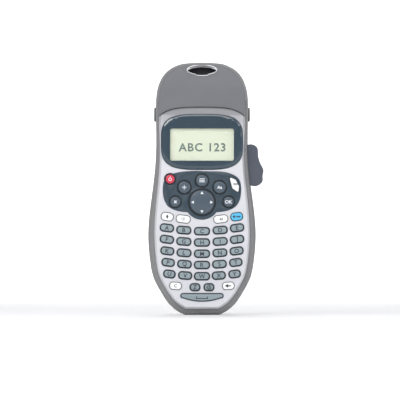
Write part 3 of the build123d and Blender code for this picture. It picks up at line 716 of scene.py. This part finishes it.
def strip(name, low_line, high_line, proud, thickness, material):
    """A narrow strip between two open lines of (x, z) points, laid on the front surface."""
    points = low_line + high_line[::-1]
    bpy.ops.mesh.primitive_circle_add(vertices=len(points), radius=1.0, fill_type="NGON")
    piece = bpy.context.view_layer.objects.active
    piece.name = name
    for vertex, (x, z) in zip(piece.data.vertices, points):
        vertex.co = (x, front_y(z) - proud, z)
    edit_all(piece)
    bpy.ops.mesh.quads_convert_to_tris(ngon_method="CLIP")
    bpy.ops.mesh.normals_make_consistent(inside=False)
    leave(piece)
    piece.data.materials.append(material)
    modify(piece, "SOLIDIFY", thickness=thickness, offset=0.0)
    edit_all(piece)
    bpy.ops.mesh.normals_make_consistent(inside=False)
    return leave(piece)


class LABELMAKER_OT_display(bpy.types.Operator):
    """Glossy display surround, clear window, screen and its characters"""

    bl_idname = "label_maker.display"
    bl_label = "Display"

    def execute(self, context):
        paints, sizes = colours(), sizes_now()
        gloss = moulded("bezel_gloss", paints.slate, 0.16, grain=900.0, depth=0.002 * MM, coat=0.8)
        bezel = own_copy("display_bezel", "surround")
        bezel.data.materials.append(gloss)
        dissolve(bezel, 0.4)
        round_edges(bezel, sizes.hood_round, 3, 28)
        smooth(bezel, 60)
        modify(bezel, "WEIGHTED_NORMAL", keep_sharp=True, weight=60)
        put(bezel, "housing", ["display_bezel"])
        lens = own_copy("display_lens", "clear_window")
        lens.data.materials.append(clear_window("window_clear"))
        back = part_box("display_lens")[1].y
        edit(lens)
        pick(lens, lambda face: face.center.y > back - 0.01 * MM and face.normal.y > 0.9)
        bpy.ops.transform.translate(value=(0, -0.4 * MM, 0))
        leave(lens)
        put(lens, "housing", ["display_lens"])
        screen = frame["nodes"]["lcd_module"]
        screen.data.materials.clear()
        screen.data.materials.append(screen_paint("screen_cream", paints.screen))
        ink = moulded("screen_ink", paints.screen_ink, 0.5)
        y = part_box("lcd_module")[0].y - 0.06 * MM
        text = text_legend("ABC 123", 6.4 * MM, ink, 0.0, y, 134.8 * MM, spread=1.15)
        text.name = "screen_characters"
        put(text, "housing")
        return {"FINISHED"}


def collar(node, gap, width, height, material):
    """A dark raised ring round a key's hole in the panel."""
    panel_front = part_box("nav_panel")[0].y
    ring = front_face_only(node, "collar_" + node)
    edit_all(ring)
    bpy.ops.transform.translate(value=(0, panel_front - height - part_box(node)[0].y, 0))
    pull(y=height + 0.2 * MM)
    face_outwards()
    pick(ring, lambda face: abs(face.normal.y) > 0.9)
    bpy.ops.mesh.delete(type="ONLY_FACE")
    bpy.ops.mesh.select_all(action="SELECT")
    bpy.ops.transform.shrink_fatten(value=gap)
    leave(ring)
    modify(ring, "SOLIDIFY", thickness=width, offset=1.0)
    ring.data.materials.append(material)
    return smooth(ring, 50)


class LABELMAKER_OT_panel(bpy.types.Operator):
    """The dark key panel with a raised ring round each key"""

    bl_idname = "label_maker.panel"
    bl_label = "Key panel"

    def execute(self, context):
        paints = colours()
        panel = own_copy("nav_panel", "panel_plate")
        panel.data.materials.append(moulded("panel_satin", paints.slate, 0.33, coat=0.3))
        dissolve(panel, 0.4)
        round_edges(panel, 0.25 * MM, 2, 50)
        put(smooth(panel, 50), "housing", ["nav_panel"])
        dark = moulded("collar_black", tone(paints.slate, 0.22)[:3], 0.4)
        rings = []
        for node in SLATE_KEYS + ["key_power", "nav_pad"]:
            rings.append(collar(node, 0.32 * MM, 0.55 * MM, 0.15 * MM, dark))
        collars = joined(rings)
        collars.name = "key_collars"
        put(collars, "housing")
        return {"FINISHED"}


class LABELMAKER_OT_keys(bpy.types.Operator):
    """Every rubber key, with its rim and its printed sign"""

    bl_idname = "label_maker.keys"
    bl_label = "Keys"

    def execute(self, context):
        paints, sizes = colours(), sizes_now()
        rim = moulded("rim_rubber", paints.rim, 0.45)
        pale_rim = moulded("rim_grey", (0.13, 0.14, 0.15), 0.5)
        teal = moulded("key_teal_rubber", paints.teal, 0.42, coat=0.1)
        white = moulded("key_white_rubber", paints.white, 0.4, coat=0.1, mottling=0.03)
        slate = moulded("key_slate_rubber", paints.slate_key, 0.36, coat=0.2)
        red = moulded("key_red_rubber", paints.red, 0.34, coat=0.25)
        blue = moulded("key_blue_rubber", paints.blue, 0.34, coat=0.25)
        ink = moulded("ink_dark", (0.035, 0.045, 0.055), 0.5)
        pale = moulded("ink_pale", (0.82, 0.85, 0.88), 0.5)
        for node in TEAL_KEYS:
            finished_key(node, sizes.key_rim, rim, teal, ink, sizes)
        finished_key("key_space", sizes.thin_rim + 0.2 * MM, rim, teal, ink, sizes)
        for node in WHITE_KEYS:
            finished_key(node, sizes.thin_rim * 0.7, pale_rim, white, ink, sizes)
        for node in SLATE_KEYS:
            finished_key(node, sizes.thin_rim, rim, slate, pale, sizes)
        finished_key("key_power", sizes.thin_rim, rim, red, pale, sizes)
        finished_key("key_save", sizes.thin_rim, rim, blue, ink, sizes)
        pad = key_cap("nav_pad", sizes.key_rim, sizes.key_round, rim, slate)
        x, y, z = middle(pad)
        marks = []
        for degrees in (0, 90, 180, 270):
            turn = math.radians(degrees)
            place = (x + ARROW_REACH * math.cos(turn), y, z + ARROW_REACH * math.sin(turn))
            marks.append(disc_legend(3, ARROW_RADIUS, pale, *place, turn - math.radians(90)))
        pad = joined([pad] + marks)
        pad.name = "cap_nav_pad"
        put(pad, "nav_pad", ["nav_pad"])
        return {"FINISHED"}


class LABELMAKER_OT_lever(bpy.types.Operator):
    """The cutter lever and the oval grip pads"""

    bl_idname = "label_maker.lever"
    bl_label = "Lever and grips"

    def execute(self, context):
        paints = colours()
        lever = own_copy("cutter_lever", "lever_skin")
        lever.data.materials.append(moulded("lever_satin", paints.lever, 0.4, coat=0.15))
        dissolve(lever, 0.4)
        round_edges(lever, 0.9 * MM, 4, 60)
        put(smooth(lever, 50), "lever", ["cutter_lever"])
        rubber = moulded("grip_rubber", paints.pad, 0.6, grain=1800.0)
        for side, name in ((-1, "grip_pad_left"), (1, "grip_pad_right")):
            bpy.ops.mesh.primitive_cylinder_add(
                vertices=48, radius=1.0, depth=1.0, end_fill_type="NGON", rotation=(0, math.radians(90), 0)
            )
            pad = bpy.context.view_layer.objects.active
            bpy.ops.object.transform_apply(location=True, rotation=True, scale=True)
            pad.name = name
            pad.scale = PAD_SIZE
            pad.location = (side * PAD_X, PAD_Y, PAD_Z)
            settle(pad)
            edit(pad)
            pick(pad, lambda face, side=side: face.normal.x * side > 0.9)
            bpy.ops.mesh.bevel(offset=1.1 * MM, segments=5, affect="EDGES")
            leave(pad)
            pad.data.materials.append(rubber)
            put(smooth(pad, 50), "housing")
        return {"FINISHED"}


class LABELMAKER_OT_insides(bpy.types.Operator):
    """Finishes of the parts inside, seen when a cover is open"""

    bl_idname = "label_maker.insides"
    bl_label = "Inside parts"

    def execute(self, context):
        finishes = {
            "circuit_board": moulded("board_green", (0.02, 0.16, 0.07), 0.35, coat=0.4),
            "print_head": brushed("head_metal", (0.62, 0.63, 0.66), 0.35),
            "feed_motor": brushed("motor_steel", (0.55, 0.56, 0.58), 0.3),
            "platen_roller": moulded("roller_rubber", (0.03, 0.03, 0.035), 0.6),
            "tape_cassette": moulded("cassette_violet_grey", (0.085, 0.075, 0.16), 0.35, coat=0.2),
            "batteries": brushed("cell_sleeve", (0.72, 0.60, 0.38), 0.3),
            "battery_contacts": brushed("contact_nickel", (0.75, 0.74, 0.70), 0.25),
            "screws": brushed("screw_steel", (0.50, 0.50, 0.52), 0.35),
        }
        for node, finish in finishes.items():
            part = frame["nodes"][node]
            part.data.materials.clear()
            part.data.materials.append(finish)
        return {"FINISHED"}


def soft_light(name, energy, size, location, aim):
    bpy.ops.object.light_add(type="AREA", location=location)
    light = bpy.context.view_layer.objects.active
    light.name = name
    light.data.energy = energy
    light.data.size = size
    towards = [there - here for here, there in zip(location, aim)]
    flat = math.hypot(towards[0], towards[1])
    light.rotation_euler = (math.atan2(flat, -towards[2]), 0.0, math.atan2(-towards[0], towards[1]))
    return light


class LABELMAKER_OT_stage(bpy.types.Operator):
    """Pale floor with a curved backdrop, soft lights and the camera"""

    bl_idname = "label_maker.stage"
    bl_label = "Stage"

    def execute(self, context):
        bpy.ops.mesh.primitive_plane_add(size=1.0)
        floor = bpy.context.view_layer.objects.active
        floor.name = "floor"
        floor.scale = (FLOOR_WIDTH, FLOOR_DEPTH, 1.0)
        floor.location = (0.0, FLOOR_MIDDLE_Y, 0.0)
        settle(floor)
        edit(floor)
        bpy.ops.mesh.select_mode(type="EDGE")
        bpy.ops.object.mode_set(mode="OBJECT")
        for edge in floor.data.edges:
            ends = [floor.data.vertices[index].co for index in edge.vertices]
            edge.select = all(end.y > 0 for end in ends)
        bpy.ops.object.mode_set(mode="EDIT")
        pull(z=BACKDROP_HEIGHT)
        leave(floor)
        round_edges(floor, BACKDROP_ROUND, 12, 40)
        smooth(floor, 60)
        paper = Paint("floor_paper")
        fibre = paper.noise(300.0, 3.0)
        paper.set(
            Base_Color=paper.mix(fibre, (0.95, 0.95, 0.95, 1.0), (0.98, 0.98, 0.98, 1.0)),
            Roughness=(fibre - 0.5) * 0.1 + 0.75,
        )
        floor.data.materials.append(paper.material)
        for light in LIGHTS:
            soft_light(*light)
        world = bpy.data.worlds.new("studio")
        context.scene.world = world
        context.scene.view_settings.view_transform = "Standard"
        world.use_nodes = True
        sky = world.node_tree.nodes["Background"]
        sky.inputs["Color"].default_value = SKY
        sky.inputs["Strength"].default_value = SKY_STRENGTH
        rise = math.asin((AIM_Z - CAMERA_HEIGHT) / CAMERA_DISTANCE)
        bpy.ops.object.camera_add(
            location=(AIM_X, FACE_Y - CAMERA_DISTANCE * math.cos(rise), CAMERA_HEIGHT),
            rotation=(math.radians(90) + rise, 0.0, 0.0),
        )
        camera = bpy.context.view_layer.objects.active
        camera.data.sensor_width = SENSOR
        camera.data.lens = SENSOR * CAMERA_DISTANCE / PICTURE_WIDTH
        camera.data.clip_end = 50.0
        context.scene.camera = camera
        return {"FINISHED"}


OPERATORS = (
    LABELMAKER_OT_shells,
    LABELMAKER_OT_mouth,
    LABELMAKER_OT_display,
    LABELMAKER_OT_panel,
    LABELMAKER_OT_keys,
    LABELMAKER_OT_lever,
    LABELMAKER_OT_insides,
    LABELMAKER_OT_stage,
)


class LABELMAKER_PT_steps(bpy.types.Panel):
    """The steps that build the label maker's looks"""

    bl_idname = "LABELMAKER_PT_steps"
    bl_label = "Label maker"
    bl_space_type = "VIEW_3D"
    bl_region_type = "UI"
    bl_category = "Label maker"

    def draw(self, context):
        for operator in OPERATORS:
            self.layout.operator(operator.bl_idname)
        for group in (context.scene.label_maker_colours, context.scene.label_maker_sizes):
            for name in group.bl_rna.properties.keys():
                if name not in ("rna_type", "name"):
                    self.layout.prop(group, name)


CLASSES = (LabelMakerColours, LabelMakerSizes) + OPERATORS + (LABELMAKER_PT_steps,)


def register():
    for item in CLASSES:
        bpy.utils.register_class(item)
    bpy.types.Scene.label_maker_colours = bpy.props.PointerProperty(type=LabelMakerColours)
    bpy.types.Scene.label_maker_sizes = bpy.props.PointerProperty(type=LabelMakerSizes)


def unregister():
    del bpy.types.Scene.label_maker_sizes
    del bpy.types.Scene.label_maker_colours
    for item in reversed(CLASSES):
        bpy.utils.unregister_class(item)


def main():
    register()
    for operator in OPERATORS:
        getattr(bpy.ops.label_maker, operator.bl_idname.split(".")[1])()
    deselect()


if __name__ == "__main__":
    main()
